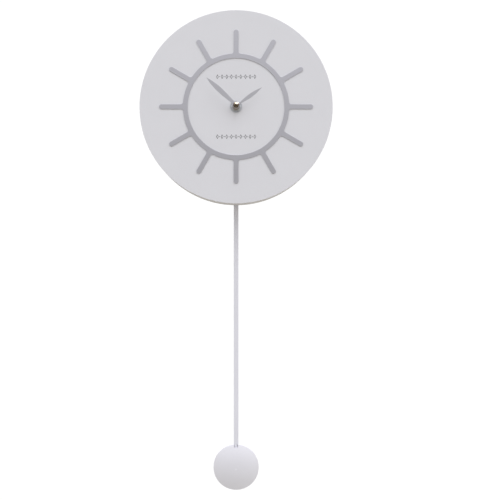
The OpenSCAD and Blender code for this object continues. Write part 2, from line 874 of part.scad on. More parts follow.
// Bent leaf spring: a flat back against the housing and a raised tongue towards the battery
module battery_contact_negative() {
    back_x = -bay_half_w;
    tongue_x = battery_low_x - 0.1;
    color("silver") at_depth(battery_centre - 5) rotate([-90, 0, 0])
        translate([0, -10, battery_z - 4]) linear_extrude(height = 8)
            polygon([[back_x, 0], [back_x + contact_t, 0], [back_x + contact_t, 8.6],
                [tongue_x - contact_t, 5], [tongue_x - contact_t, 4], [tongue_x, 4],
                [tongue_x, 5.4], [back_x + contact_t, 10], [back_x, 10]]);
}

module aa_battery() {
    battery_r = battery_d / 2;
    color("darkorange") translate([battery_low_x, -battery_centre, battery_z - hang_rise])
        rotate([0, 90, 0]) {
            cylinder(h = battery_can_l, r = battery_r);
            translate([0, 0, battery_can_l]) cylinder(h = battery_nub_l, r = battery_nub_r);
        }
}

// ---- Pendulum drive ----

module drive_bobbin() {
    color("white") difference() {
        union() {
            disc(bobbin_back, bobbin_front - bobbin_back, drive_hub_r, drive_at);
            disc(bobbin_back, drive_flange_t, drive_flange_r, drive_at);
            disc(bobbin_front - drive_flange_t, drive_flange_t, drive_flange_r, drive_at);
        }
        disc(cover_in, 10, drive_post_r + fine, drive_at);
    }
}

module drive_coil() {
    coil_back = bobbin_back + drive_flange_t + fine;
    coil_front = bobbin_front - drive_flange_t - fine;
    color("chocolate")
        tube(coil_back, coil_front - coil_back, drive_coil_r, drive_hub_r + fine, drive_at);
}

module pendulum_pivot_pin() {
    pin_back = arm_back - 1.2;
    pin_front = cover_in + pivot_boss_l - 1;
    color("silver") {
        disc(pin_back, 1, 2 * pivot_pin_r, pivot_at);
        disc(pin_back, pin_front - pin_back, pivot_pin_r, pivot_at);
    }
}

// ---- Pendulum ----

module pendulum_arm() {
    color("gray") difference() {
        union() {
            disc(arm_back, arm_t, arm_hub_r, pivot_at);
            disc(arm_back, arm_t, arm_hub_r, hook_at);
            slab(arm_back, arm_t, [-arm_w / 2, -hook_drop], [arm_w / 2, -pivot_drop]);
            disc(arm_back, arm_t, magnet_r + 1, drive_at);
        }
        disc(arm_back - 1, arm_t + 2, pivot_pin_r + fine, pivot_at);
        disc(arm_back - 1, arm_t + 2, pivot_pin_r + snug, hook_at);
    }
}

module arm_magnet() {
    color("silver") disc(arm_back + arm_t, mov_back - magnet_gap - arm_back - arm_t, magnet_r,
        drive_at);
}

// Pin that the rod hangs on: a shoulder against the arm, a pin through the rod's eye, and a head
module hook_pin() {
    head_t = 0.8;
    play = 0.1;
    head_back = rod_back - head_t - play;
    shoulder_back = rod_back + rod_t + play;
    head_r = 2.6;
    shoulder_r = 2.4;
    color("silver") {
        disc(head_back, head_t, head_r, hook_at);
        disc(head_back, arm_back + arm_t - head_back, pivot_pin_r, hook_at);
        disc(shoulder_back, arm_back - shoulder_back, shoulder_r, hook_at);
    }
}

module pendulum_rod() {
    eye_r = 5;
    rod_end = bob_drop + rod_in_bob;
    color("whitesmoke") difference() {
        union() {
            disc(rod_back, rod_t, eye_r, hook_at);
            slab(rod_back, rod_t, [-rod_w / 2, -rod_shoulder], [rod_w / 2, -hook_drop]);
            slab(rod_back, rod_t, [-tongue_w / 2, -rod_end], [tongue_w / 2, -hook_drop]);
        }
        disc(rod_back - 1, rod_t + 2, pivot_pin_r + fine, hook_at);
    }
}

// A lens with a thin rim: two shallow spherical faces, slotted for the rod's tongue, with a
// notch at the top that is open to the front
module bob() {
    bob_r = bob_d / 2;
    front_r = (pow(bob_r, 2) + pow(bob_front_h, 2)) / (2 * bob_front_h);
    back_r = (pow(bob_r, 2) + pow(bob_back_h, 2)) / (2 * bob_back_h);
    color("whitesmoke") difference() {
        at_depth(bob_back, [0, -bob_drop]) intersection() {
            cylinder(h = bob_t, r = bob_r);
            translate([0, 0, bob_t - front_r]) sphere(front_r, $fn = 360);
            translate([0, 0, back_r]) sphere(back_r, $fn = 360);
        }
        slab(rod_back - snug, rod_t + 2 * snug,
            [-tongue_w / 2 - snug, -bob_drop - rod_in_bob - snug],
            [tongue_w / 2 + snug, -bob_drop + bob_d]);
        slab(rod_back - snug, bob_t, [-notch_w / 2, -bob_drop + bob_r - notch_l],
            [notch_w / 2, -bob_drop + bob_d]);
    }
}

dial_panel();
sun_ring();
case_ring();
hanger_bar();
keyhole_plate();
keyhole_screws();
wall_spacers();
movement_case();
movement_back_cover();
back_cover_screws();
centre_bush();
bush_gasket();
bush_washer();
bush_nut();
train_plate();
train_plate_screws();
stator();
stator_screws();
coil_core();
stepper_bobbin();
stepper_coil();
circuit_board();
quartz_crystal();
chip_cover();
battery_contact_positive();
battery_contact_negative();
aa_battery();
drive_bobbin();
drive_coil();
pendulum_pivot_pin();
minute_arbor();
minute_hand();
hand_cap();
minute_wheel();
hour_wheel();
hour_hand();
setting_pinion();
setting_knob();
centre_wheel();
third_wheel();
fourth_wheel();
fifth_wheel();
rotor_pinion();
rotor_magnet();
pendulum_arm();
arm_magnet();
hook_pin();
pendulum_rod();
bob();
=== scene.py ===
"""Looks for the pendulum wall clock: materials, finely finished pieces, light and camera.

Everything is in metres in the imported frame: the origin is the keyhole's round entry on the wall,
+Z is up, +X right as seen from the front, and the clock faces -Y. The mesh code works in
millimetres: x and z from the centre of the face, and "depth" out from the wall, which is -y.
"""
import json
import math

import bmesh
import bpy
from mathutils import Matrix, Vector


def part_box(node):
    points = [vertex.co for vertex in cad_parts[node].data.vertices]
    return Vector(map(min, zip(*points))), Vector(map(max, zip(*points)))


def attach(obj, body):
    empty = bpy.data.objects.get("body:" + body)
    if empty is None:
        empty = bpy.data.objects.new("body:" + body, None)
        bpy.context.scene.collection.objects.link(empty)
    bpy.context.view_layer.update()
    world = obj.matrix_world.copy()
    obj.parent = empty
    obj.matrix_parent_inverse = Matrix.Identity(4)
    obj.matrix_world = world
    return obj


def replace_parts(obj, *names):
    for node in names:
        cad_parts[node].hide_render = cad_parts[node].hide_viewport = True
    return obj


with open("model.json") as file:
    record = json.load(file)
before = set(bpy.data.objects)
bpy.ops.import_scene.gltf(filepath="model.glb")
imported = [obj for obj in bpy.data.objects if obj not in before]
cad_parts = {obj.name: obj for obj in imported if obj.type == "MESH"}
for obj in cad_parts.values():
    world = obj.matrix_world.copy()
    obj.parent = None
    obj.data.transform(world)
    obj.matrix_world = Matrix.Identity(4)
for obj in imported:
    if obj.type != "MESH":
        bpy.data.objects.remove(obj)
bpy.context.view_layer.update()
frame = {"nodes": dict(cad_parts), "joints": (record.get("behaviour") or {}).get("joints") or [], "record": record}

MM = 0.001
NODES = frame["nodes"]
SLOT_OF = {part["node"]: part["material_slot"] for part in frame["record"]["subparts"]}
BODY_OF = {node: body for body, nodes in frame["record"]["behaviour"]["bodies"].items()
           for node in nodes}


# ---- Places that come from the frame ----

JOINTS = {joint["name"]: joint for joint in frame["joints"]}
FACE = Vector(JOINTS["minute_hand_turn"]["pos_m"])  # on the axis that the hands turn about
FACE_X, FACE_Z = FACE.x, FACE.z


def depths(node):
    """Depths of a node's back and front from the wall, in millimetres."""
    low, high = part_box(node)
    return -high.y / MM, -low.y / MM


def spot(node):
    """The middle of a node as (x, z) from the face's centre, in millimetres."""
    low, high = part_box(node)
    middle = (low + high) / 2
    return (middle.x - FACE_X) / MM, (middle.z - FACE_Z) / MM


def edges_of(node):
    """Lowest and highest x and z of a node from the face's centre, in millimetres."""
    low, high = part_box(node)
    return ((low.x - FACE_X) / MM, (high.x - FACE_X) / MM,
            (low.z - FACE_Z) / MM, (high.z - FACE_Z) / MM)


def radius_of(node):
    """Half the width of a round node, in millimetres."""
    low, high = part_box(node)
    return (high.x - low.x) / 2 / MM


def place(x, z, depth):
    """A point of the frame, in metres, from millimetres about the face's centre."""
    return Vector((FACE_X + x * MM, -depth * MM, FACE_Z + z * MM))


def polar(radius, degrees):
    return radius * math.cos(math.radians(degrees)), radius * math.sin(math.radians(degrees))


# ---- Material building blocks ----

def rgb(red, green, blue):
    """A colour given as it looks on screen, from 0 to 255, as the shader's linear values."""
    def linear(value):
        share = value / 255
        return share / 12.92 if share <= 0.04045 else ((share + 0.055) / 1.055) ** 2.4
    return (linear(red), linear(green), linear(blue), 1.0)


def scaled(colour, factor):
    return tuple(min(1.0, c * factor) for c in colour[:3]) + (1.0,)


class Paint:
    """One node material, with short calls for the nodes used here."""

    def __init__(self, name, **sockets):
        self.material = bpy.data.materials.new(name)
        self.material.use_nodes = True
        self.tree = self.material.node_tree
        self.shader = self.tree.nodes["Principled BSDF"]
        for socket, value in sockets.items():
            self.shader.inputs[socket.replace("_", " ")].default_value = value
        self.place = self.node("ShaderNodeTexCoord").outputs["Object"]

    def node(self, kind, **settings):
        made = self.tree.nodes.new(kind)
        for key, value in settings.items():
            setattr(made, key, value)
        return made

    def link(self, source, target):
        self.tree.links.new(source, target)

    def stretched(self, x, y, z):
        """The place, stretched along each axis, for grain that runs one way."""
        mapping = self.node("ShaderNodeMapping")
        mapping.inputs["Scale"].default_value = (x, y, z)
        self.link(self.place, mapping.inputs["Vector"])
        return mapping.outputs["Vector"]

    def noise(self, size, detail=2.0, rough=0.5, at=None):
        """Noise from 0 to 1 with features of about the given size in metres."""
        made = self.node("ShaderNodeTexNoise")
        made.inputs["Scale"].default_value = 1 / size
        made.inputs["Detail"].default_value = detail
        made.inputs["Roughness"].default_value = rough
        self.link(at or self.place, made.inputs["Vector"])
        return made.outputs["Fac"]

    def spread(self, value, low, high, from_low=0.3, from_high=0.7):
        made = self.node("ShaderNodeMapRange")
        made.inputs["From Min"].default_value = from_low
        made.inputs["From Max"].default_value = from_high
        made.inputs["To Min"].default_value = low
        made.inputs["To Max"].default_value = high
        self.link(value, made.inputs["Value"])
        return made.outputs["Result"]

    def mix(self, factor, first, second):
        made = self.node("ShaderNodeMix", data_type="RGBA")
        self.link(factor, made.inputs["Factor"])
        for value, socket in ((first, made.inputs["A"]), (second, made.inputs["B"])):
            if isinstance(value, tuple):
                socket.default_value = value
            else:
                self.link(value, socket)
        return made.outputs["Result"]

    def maths(self, operation, first, second=None):
        made = self.node("ShaderNodeMath", operation=operation)
        for value, socket in ((first, made.inputs[0]), (second, made.inputs[1])):
            if isinstance(value, (int, float)):
                socket.default_value = value
            elif value is not None:
                self.link(value, socket)
        return made.outputs[0]

    def colour(self, value):
        self.link(value, self.shader.inputs["Base Color"])

    def roughness(self, value):
        self.link(value, self.shader.inputs["Roughness"])

    def bump(self, height, distance, strength=1.0):
        made = self.node("ShaderNodeBump")
        made.inputs["Distance"].default_value = distance
        made.inputs["Strength"].default_value = strength
        self.link(height, made.inputs["Height"])
        self.link(made.outputs["Normal"], self.shader.inputs["Normal"])


def mottled(name, tone, shade=0.94, patch=12 * MM, rough=(0.4, 0.5), grain=0.5 * MM,
            bump=0.01 * MM, **sockets):
    """A surface of one tone that drifts a little, with a fine grain in its gloss and relief."""
    paint = Paint(name, **sockets)
    paint.colour(paint.mix(paint.spread(paint.noise(patch, 3), 0, 1), tone, scaled(tone, shade)))
    fine = paint.noise(grain, 3)
    paint.roughness(paint.spread(fine, *rough))
    paint.bump(fine, bump)
    return paint.material


# ---- Materials ----

def face_white():
    return mottled("face_white", rgb(232, 232, 236), shade=0.985, patch=40 * MM,
                   rough=(0.42, 0.5), grain=0.9 * MM, bump=0.004 * MM)


# The band carries the same white lacquer as the face, but its tone here is darker and warmer: painted shade for
# its shaded, downward-facing side
def case_white():
    return mottled("case_white", rgb(216, 214, 216), shade=0.975, patch=30 * MM,
                   rough=(0.45, 0.55), grain=0.8 * MM, bump=0.006 * MM)


def satin_metal(name, tone):
    """Anodised sheet with a faint brushed grain."""
    paint = Paint(name, Metallic=1.0)
    grain = paint.noise(0.5 * MM, detail=3, rough=0.6, at=paint.stretched(0.04, 1, 1))
    paint.colour(paint.mix(paint.spread(grain, 0, 1), tone, scaled(tone, 0.96)))
    paint.roughness(paint.spread(grain, 0.36, 0.44))
    paint.bump(grain, 0.002 * MM)
    return paint.material


def polished_cap():
    return mottled("polished_cap", rgb(112, 101, 89), shade=0.9, patch=2 * MM,
                   rough=(0.06, 0.1), grain=0.3 * MM, bump=0.0005 * MM, Metallic=1.0)


def fibreboard():
    """Bare board with fibres along its length and darker flecks."""
    paint = Paint("raw_board")
    fibres = paint.noise(0.6 * MM, detail=4, rough=0.65, at=paint.stretched(0.35, 1, 1))
    flecks = paint.noise(0.25 * MM)
    tone = paint.mix(paint.spread(fibres, 0, 1), rgb(178, 142, 100), rgb(150, 116, 78))
    fleck_share = paint.spread(flecks, 0, 1, from_low=0.55, from_high=0.75)
    paint.colour(paint.mix(fleck_share, tone, rgb(118, 86, 56)))
    paint.roughness(paint.spread(fibres, 0.75, 0.9))
    paint.bump(fibres, 0.05 * MM)
    return paint.material


def battery_sleeve():
    """Printed shrink sleeve: pale grey, with a broad teal band at the positive end and a thin
    teal line beside it."""
    plain_share, line_gap, line_half = 0.72, 1.6 * MM, 0.4 * MM
    paint = Paint("battery_skin", Coat_Weight=0.4, Coat_Roughness=0.15)
    low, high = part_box("aa_battery")
    band_start = low.x + (high.x - low.x) * plain_share
    separate = paint.node("ShaderNodeSeparateXYZ")
    paint.link(paint.place, separate.inputs[0])
    x = separate.outputs["X"]
    in_band = paint.maths("GREATER_THAN", x, band_start)
    on_line = paint.maths("COMPARE", x, band_start - line_gap)
    on_line.node.inputs[2].default_value = line_half
    wear = paint.spread(paint.noise(3 * MM, detail=3), 0, 1)
    pale = paint.mix(wear, rgb(196, 198, 200), rgb(184, 187, 190))
    teal = paint.mix(wear, rgb(46, 112, 118), rgb(40, 98, 104))
    paint.colour(paint.mix(paint.maths("MAXIMUM", in_band, on_line), pale, teal))
    paint.roughness(paint.spread(paint.noise(1 * MM), 0.28, 0.4))
    paint.bump(paint.noise(0.8 * MM), 0.01 * MM)
    return paint.material


def wound_wire():
    return mottled("copper_wire", rgb(176, 92, 48), shade=0.82, patch=1.2 * MM,
                   rough=(0.25, 0.38), grain=0.2 * MM, Metallic=0.9)


def board_green():
    """Circuit board lacquer with paler raised lines over its copper."""
    paint = Paint("board_green")
    traces = paint.noise(1.4 * MM, detail=1, rough=0.4, at=paint.stretched(1, 1, 0.25))
    lines = paint.spread(traces, 0, 1, from_low=0.52, from_high=0.54)
    paint.colour(paint.mix(lines, rgb(24, 84, 50), rgb(44, 112, 66)))
    paint.roughness(paint.spread(paint.noise(0.5 * MM), 0.3, 0.45))
    paint.bump(lines, 0.03 * MM)
    return paint.material


MATERIALS = {
    "face_white": face_white(),
    "case_white": case_white(),
    "ray_grey": satin_metal("ray_grey", rgb(207, 206, 210)),
    "hand_grey": satin_metal("hand_grey", rgb(204, 203, 206)),
    "polished_cap": polished_cap(),
    "rod_silver": mottled("rod_silver", rgb(236, 236, 243), shade=0.98, patch=20 * MM,
                          rough=(0.4, 0.48), grain=0.6 * MM, bump=0.004 * MM),
    "bob_silver": mottled("bob_silver", rgb(232, 231, 236), shade=0.985, patch=16 * MM,
                          rough=(0.4, 0.48), grain=0.7 * MM, bump=0.004 * MM),
    "raw_board": fibreboard(),
    "zinc_steel": mottled("zinc_steel", rgb(212, 214, 217), shade=0.86, patch=4 * MM,
                          rough=(0.28, 0.42), grain=0.6 * MM, bump=0.008 * MM, Metallic=1.0),
    "soft_rubber": mottled("soft_rubber", rgb(52, 52, 54), shade=0.85, patch=2 * MM,
                           rough=(0.7, 0.85), grain=0.4 * MM, bump=0.03 * MM),
    "movement_plastic": mottled("movement_plastic", rgb(44, 45, 47), shade=0.88, patch=6 * MM,
                                rough=(0.42, 0.56), grain=0.45 * MM, bump=0.03 * MM),
    "knob_black": mottled("knob_black", rgb(34, 34, 36), shade=0.85, patch=3 * MM,
                          rough=(0.32, 0.45), grain=0.4 * MM, bump=0.02 * MM),
    "gear_plastic": mottled("gear_plastic", rgb(226, 222, 208), shade=0.95, patch=5 * MM,
                            rough=(0.35, 0.48), Subsurface_Weight=0.1,
                            Subsurface_Scale=0.001),
    "brass": mottled("brass", rgb(172, 142, 88), shade=0.88, patch=3 * MM,
                     rough=(0.22, 0.34), grain=0.4 * MM, bump=0.006 * MM, Metallic=1.0),
    "motor_iron": mottled("motor_iron", rgb(132, 134, 138), shade=0.86, patch=3 * MM,
                          rough=(0.38, 0.5), grain=0.4 * MM, Metallic=1.0),
    "copper_wire": wound_wire(),
    "board_green": board_green(),
    "chip_black": mottled("chip_black", rgb(22, 22, 24), shade=0.8, patch=1 * MM,
                          rough=(0.2, 0.35), grain=0.3 * MM),
    "bright_can": mottled("bright_can", rgb(214, 214, 216), shade=0.93, patch=2 * MM,
                          rough=(0.16, 0.26), grain=0.3 * MM, bump=0.004 * MM, Metallic=1.0),
    "contact_nickel": mottled("contact_nickel", rgb(200, 197, 190), shade=0.9, patch=2 * MM,
                              rough=(0.22, 0.34), grain=0.3 * MM, bump=0.006 * MM,
                              Metallic=1.0),
    "battery_skin": battery_sleeve(),
    "magnet_dark": mottled("magnet_dark", rgb(70, 70, 74), shade=0.85, patch=1.5 * MM,
                           rough=(0.4, 0.55), grain=0.3 * MM, Metallic=0.6),
    "magnet_bright": mottled("magnet_bright", rgb(206, 207, 210), shade=0.92, patch=2 * MM,
                             rough=(0.14, 0.24), grain=0.3 * MM, bump=0.004 * MM,
                             Metallic=1.0),
}


# ---- Mesh building ----

CREASE = math.radians(32)  # faces that meet at more than this angle keep a sharp edge


def finish_piece(name, bm, nodes, slot=None):
    """Makes a piece that stands for the given CAD nodes and rides on their body."""
    bmesh.ops.recalc_face_normals(bm, faces=bm.faces)
    for face in bm.faces:
        face.smooth = True
    for edge in bm.edges:
        if len(edge.link_faces) != 2 or edge.calc_face_angle() > CREASE:
            edge.smooth = False
    mesh = bpy.data.meshes.new(name)
    bm.to_mesh(mesh)
    bm.free()
    piece = bpy.data.objects.new(name, mesh)
    bpy.context.scene.collection.objects.link(piece)
    slot = slot or SLOT_OF[nodes[0]]
    mesh.materials.append(MATERIALS[slot])
    normals = piece.modifiers.new("flat faces stay flat", "WEIGHTED_NORMAL")
    normals.keep_sharp = True
    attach(piece, BODY_OF[nodes[0]])
    return piece


def replace_nodes(name, bm, *nodes):
    """Makes a piece that takes the place of the given CAD nodes."""
    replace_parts(finish_piece(name, bm, nodes), *nodes)


def eased(corners, closed=True, steps=4):
    """Turns each corner given as (a, b, easing) into a short curve that starts that far away."""
    path = []
    count = len(corners)
    for i, corner in enumerate(corners):
        here = Vector(corner[:2])
        if len(corner) == 2 or (not closed and i in (0, count - 1)):
            path.append(tuple(here))
            continue
        start = here + (Vector(corners[i - 1][:2]) - here).normalized() * corner[2]
        stop = here + (Vector(corners[(i + 1) % count][:2]) - here).normalized() * corner[2]
        for step in range(steps + 1):
            t = step / steps
            path.append(tuple(start * (1 - t) ** 2 + here * 2 * t * (1 - t) + stop * t ** 2))
    return path


def add_loop(bm, points, depth):
    return [bm.verts.new(place(x, z, depth)) for x, z in points]


def join_loops(bm, first, second):
    """Bridges two closed loops of the same length with quads."""
    for i in range(len(first)):
        bm.faces.new((first[i - 1], first[i], second[i], second[i - 1]))


def fill(bm, *loops):
    """Closes the flat region between an outer loop and its holes."""
    edges = [bm.edges.get((loop[i - 1], loop[i])) for loop in loops for i in range(len(loop))]
    for edge in edges:
        edge.smooth = False
    bmesh.ops.triangle_fill(bm, edges=edges, use_beauty=True, use_dissolve=False)


TURN = 0.29  # share of an eased edge at the middle of its quarter circle


def plate(bm, outlines, back, front, edge):
    """A flat plate with eased edges. Each outline gives its points at an inset from the edge."""
    steps = ((edge, back), (TURN * edge, back + TURN * edge), (0, back + edge),
             (0, front - edge), (TURN * edge, front - TURN * edge), (edge, front))
    stacks = []
    for outline in outlines:
        loops = [add_loop(bm, outline(inset), depth) for inset, depth in steps]
        for lower, upper in zip(loops, loops[1:]):
            join_loops(bm, lower, upper)
        stacks.append(loops)
    fill(bm, *[loops[0] for loops in stacks])
    fill(bm, *[loops[-1] for loops in stacks])


def round_hole(radius, at=(0, 0), steps=96):
    def outline(inset):
        return [(at[0] + x, at[1] + z) for x, z in
                (polar(radius + inset, 360 * i / steps) for i in range(steps))]
    return outline


def lathe(bm, profile, at=(0, 0), steps=96, point=None, closed=True):
    """Turns a profile of (radius, depth) points about an axis. A closed profile goes round a
    bore, and an open one starts and ends on the axis."""
    def about_depth_axis(radius, degrees, depth):
        x, z = polar(radius, degrees)
        return place(at[0] + x, at[1] + z, depth)

    point = point or about_depth_axis
    rings = []
    for radius, depth in profile:
        count = 1 if radius < 1e-6 else steps
        rings.append([bm.verts.new(point(radius, 360 * i / steps, depth)) for i in range(count)])
    pairs = list(zip(rings, rings[1:])) + ([(rings[-1], rings[0])] if closed else [])
    for first, second in pairs:
        if len(first) == len(second):
            join_loops(bm, first, second)
        else:
            tip, ring = (first, second) if len(first) == 1 else (second, first)
            for i in range(steps):
                bm.faces.new((tip[0], ring[i - 1], ring[i]))


# ---- Face and case ----

RIM_STEPS = 288  # steps round the face, the band and the ring's bore
FACE_EDGE, FACE_BORE, FACE_BORE_EDGE = 0.4, 4.25, 0.3
BAND_WALL, BAND_INNER_EDGE, BAND_OUTER_EDGE = 8, 0.8, 0.6
SUN_INNER, SUN_WIDTH, RAY_WIDTH, RAY_FILLET, RAY_COUNT = 60, 6, 6, 3, 12
SUN_EDGE = 0.15
RING_STEPS, FILLET_STEPS, TIP_STEPS = 7, 8, 12


def face_board():
    back, front = depths("dial_panel")
    rim = radius_of("dial_panel")
    profile = eased([(FACE_BORE, back), (rim, back), (rim, front, FACE_EDGE),
                     (FACE_BORE, front, FACE_BORE_EDGE)])
    bm = bmesh.new()
    lathe(bm, profile, steps=RIM_STEPS)
    replace_nodes("face_board", bm, "dial_panel")


def band():
    back, front = depths("case_ring")
    rim = radius_of("case_ring")
    inner = rim - BAND_WALL
    profile = eased([(inner, back, BAND_INNER_EDGE), (rim, back, BAND_OUTER_EDGE),
                     (rim, front), (inner, front)])
    bm = bmesh.new()
    lathe(bm, profile, steps=RIM_STEPS)
    replace_nodes("band", bm, "case_ring")


def sun_outline(inset):
    """Outer edge of the sun ring, one ray after another. Each half ray runs along the ring,
    round the fillet and round half of its tip."""
    ring = SUN_INNER + SUN_WIDTH - inset
    half = RAY_WIDTH / 2 - inset
    tip = radius_of("sun_ring") - RAY_WIDTH / 2
    bend = RAY_FILLET + inset
    centre_x = RAY_WIDTH / 2 + RAY_FILLET
    centre_z = math.sqrt((SUN_INNER + SUN_WIDTH + RAY_FILLET) ** 2 - centre_x ** 2)
    lean = math.degrees(math.atan2(centre_z, centre_x))
    sector = 360 / RAY_COUNT
    first = 90 - sector / 2
    right = [polar(ring, first + (lean - first) * i / RING_STEPS) for i in range(RING_STEPS)]
    for i in range(FILLET_STEPS + 1):
        x, z = polar(bend, lean + 180 - lean * i / FILLET_STEPS)
        right.append((centre_x + x, centre_z + z))
    for i in range(TIP_STEPS):
        x, z = polar(half, 90 * i / TIP_STEPS)
        right.append((x, tip + z))
    side = right + [(0, tip + half)] + [(-x, z) for x, z in reversed(right[1:])]
    points = []
    for ray in range(RAY_COUNT):
        cos, sin = polar(1, ray * sector)
        points += [(x * cos - z * sin, x * sin + z * cos) for x, z in side]
    return points


def sun_sheet():
    back, front = depths("sun_ring")
    bm = bmesh.new()
    plate(bm, [sun_outline, round_hole(SUN_INNER, steps=RIM_STEPS)], back, front, SUN_EDGE)
    replace_nodes("sun_sheet", bm, "sun_ring")


# Rows of open lozenges and dots printed on the face, above and below the hands
PRINT_Z = (37.2, -37.2)
PRINT_STEP = 2.9
PRINT_EACH_SIDE = 8
PRINT_THICK, PRINT_SUNK = 0.06, 0.01
LOZENGE = (1.5, 2.8)  # half width and half height
PRINT_LINE = 0.5
DOT_R = 0.45


def printed_rows():
    face = depths("dial_panel")[1]
    sunk, proud = face - PRINT_SUNK, face + PRINT_THICK
    bm = bmesh.new()
    thin = 1 - PRINT_LINE / LOZENGE[0]

    def lozenge(x, z, shrink):
        return [(x + LOZENGE[0] * shrink, z), (x, z + LOZENGE[1] * shrink),
                (x - LOZENGE[0] * shrink, z), (x, z - LOZENGE[1] * shrink)]

    for z in PRINT_Z:
        for i in range(-PRINT_EACH_SIDE, PRINT_EACH_SIDE + 1):
            x = i * PRINT_STEP
            if i % 2:
                lathe(bm, [(0, sunk), (DOT_R, sunk), (DOT_R, proud), (0, proud)], at=(x, z),
                      steps=16, closed=False)
                continue
            loops = [add_loop(bm, lozenge(x, z, shrink), depth) for shrink, depth in
                     ((1, sunk), (1, proud), (thin, proud), (thin, sunk))]
            for first, second in zip(loops, loops[1:] + loops[:1]):
                join_loops(bm, first, second)
    finish_piece("face_print", bm, ["dial_panel"], "knob_black")


# ---- Hands and hub ----

# The time shown, and how many degrees late the hour hand is pressed on
SHOW_HOUR, SHOW_MINUTE, HOUR_LAG = 1, 52.15, 1.5
ARBOR_BORE = 1.42
# A belly above 1 moves a hand's widest place outward, and a root widens it at the centre
MINUTE_HAND = {"length": 50, "width": 6.1, "belly": 1.6, "root": 0.19, "hub": 3.4,
               "bore": ARBOR_BORE}
HOUR_HAND = {"length": 39.5, "width": 4.7, "belly": 1.15, "root": 0.0, "hub": 4, "bore": 2.52}
MINUTE_ANGLE = 90 - 6 * SHOW_MINUTE
HOUR_ANGLE = 90 + HOUR_LAG - 30 * (SHOW_HOUR + SHOW_MINUTE / 60)
HAND_THICK, HAND_EDGE = 0.8, 0.14
HOUR_LEAF_BACK = 0.7  # from the back of the hour hand's collar to its leaf
COLLAR_R, COLLAR_EDGE = 3.4, 0.2
BLADE_STEPS = 48
TRIES_PER_MM = 100  # how finely the place where the blade leaves its hub is looked for
NUDGE = 0.01  # half the step over which the blade's slope is taken


def leaf_outline(length, width, belly, root, hub, degrees):
    """A leaf blade that grows out of a round hub, turned to the given angle."""
    def half_width(x):
        share = root + (1 - root) * max(0.0, x / length) ** belly
        return width / 2 * math.sin(math.pi * share)

    tried = (k / TRIES_PER_MM for k in range(round(length * TRIES_PER_MM)))
    leave = next(x for x in tried if math.hypot(x, half_width(x)) > hub)
    cos, sin = polar(1, degrees)

    def outline(inset):
        top = []
        for i in range(BLADE_STEPS):
            x = leave + (length - leave) * (i / BLADE_STEPS)
            rise = half_width(x + NUDGE) - half_width(x - NUDGE)
            slope = math.atan2(rise, 2 * NUDGE)
            top.append((x + inset * math.sin(slope), half_width(x) - inset * math.cos(slope)))
        tip_slope = math.atan2(half_width(length - 2 * NUDGE), 2 * NUDGE)
        tip = (length - inset / math.sin(tip_slope), 0.0)
        start = math.degrees(math.atan2(half_width(leave), leave))
        back = [polar(hub - inset, start + (360 - 2 * start) * i / BLADE_STEPS)
                for i in range(1, BLADE_STEPS)]
        points = top + [tip] + [(x, -z) for x, z in reversed(top)]
        points = list(reversed(points)) + back
        return [(x * cos - z * sin, x * sin + z * cos) for x, z in points]
    return outline


def hand_leaf(bm, shape, degrees, back, front):
    outline = leaf_outline(shape["length"], shape["width"], shape["belly"], shape["root"],
                           shape["hub"], degrees)
    plate(bm, [outline, round_hole(shape["bore"], steps=64)], back, front, HAND_EDGE)


def minute_hand():
    bm = bmesh.new()
    hand_leaf(bm, MINUTE_HAND, MINUTE_ANGLE, *depths("minute_hand"))
    replace_nodes("minute_hand_leaf", bm, "minute_hand")


def hour_hand():
    """The leaf, and the collar that grips the hour wheel's pipe."""
    back, front = depths("hour_hand")
    leaf_back = back + HOUR_LEAF_BACK
    bore = HOUR_HAND["bore"]
    bm = bmesh.new()
    hand_leaf(bm, HOUR_HAND, HOUR_ANGLE, leaf_back, leaf_back + HAND_THICK)
    lathe(bm, eased([(bore, back), (COLLAR_R, back, COLLAR_EDGE), (COLLAR_R, front, COLLAR_EDGE),
                     (bore, front)]))
    replace_nodes("hour_hand_leaf", bm, "hour_hand")


CAP_RIM_H, CAP_BORE_H = 1.2, 2
DOME_STEPS = 16


def cap_dome():
    """A short skirt under a dome that is part of a ball, with a blind bore for the arbor."""
    back, front = depths("hand_cap")
    rim = radius_of("hand_cap")
    shoulder = back + CAP_RIM_H
    rise = front - shoulder
    ball = (rim ** 2 + rise ** 2) / (2 * rise)
    lean = math.degrees(math.asin(rim / ball))
    dome = []
    for i in range(1, DOME_STEPS + 1):
        radius, up = polar(ball, 90 - lean * (1 - i / DOME_STEPS))
        dome.append((max(radius, 0.0), front - ball + up))
    dome[-1] = (0.0, front)
    bm = bmesh.new()
    bore_end = back + CAP_BORE_H
    skirt = eased([(0, bore_end), (ARBOR_BORE, bore_end), (ARBOR_BORE, back), (rim, back, 0.2),
                   (rim, shoulder, 0.12), (rim - 0.3, shoulder + 0.25)], closed=False)
    lathe(bm, skirt + [point for point in dome if point[1] > skirt[-1][1]], closed=False)
    replace_nodes("cap_dome", bm, "hand_cap")


WASHER_BORE = 4.15


def washer():
    back, front = depths("bush_washer")
    rim = radius_of("bush_washer")
    bm = bmesh.new()
    lathe(bm, eased([(WASHER_BORE, back), (rim, back, 0.15), (rim, front, 0.25),
                     (WASHER_BORE, front, 0.15)]))
    replace_nodes("washer", bm, "bush_washer")


NUT_FLATS = 11
NUT_BORE, NUT_BORE_EDGE = 4.02, 0.35
NUT_TURNED = 0.97  # width of the turned front, as a share of the width across the flats
NUT_SLOPE = math.tan(math.radians(30))
NUT_STEPS = 96


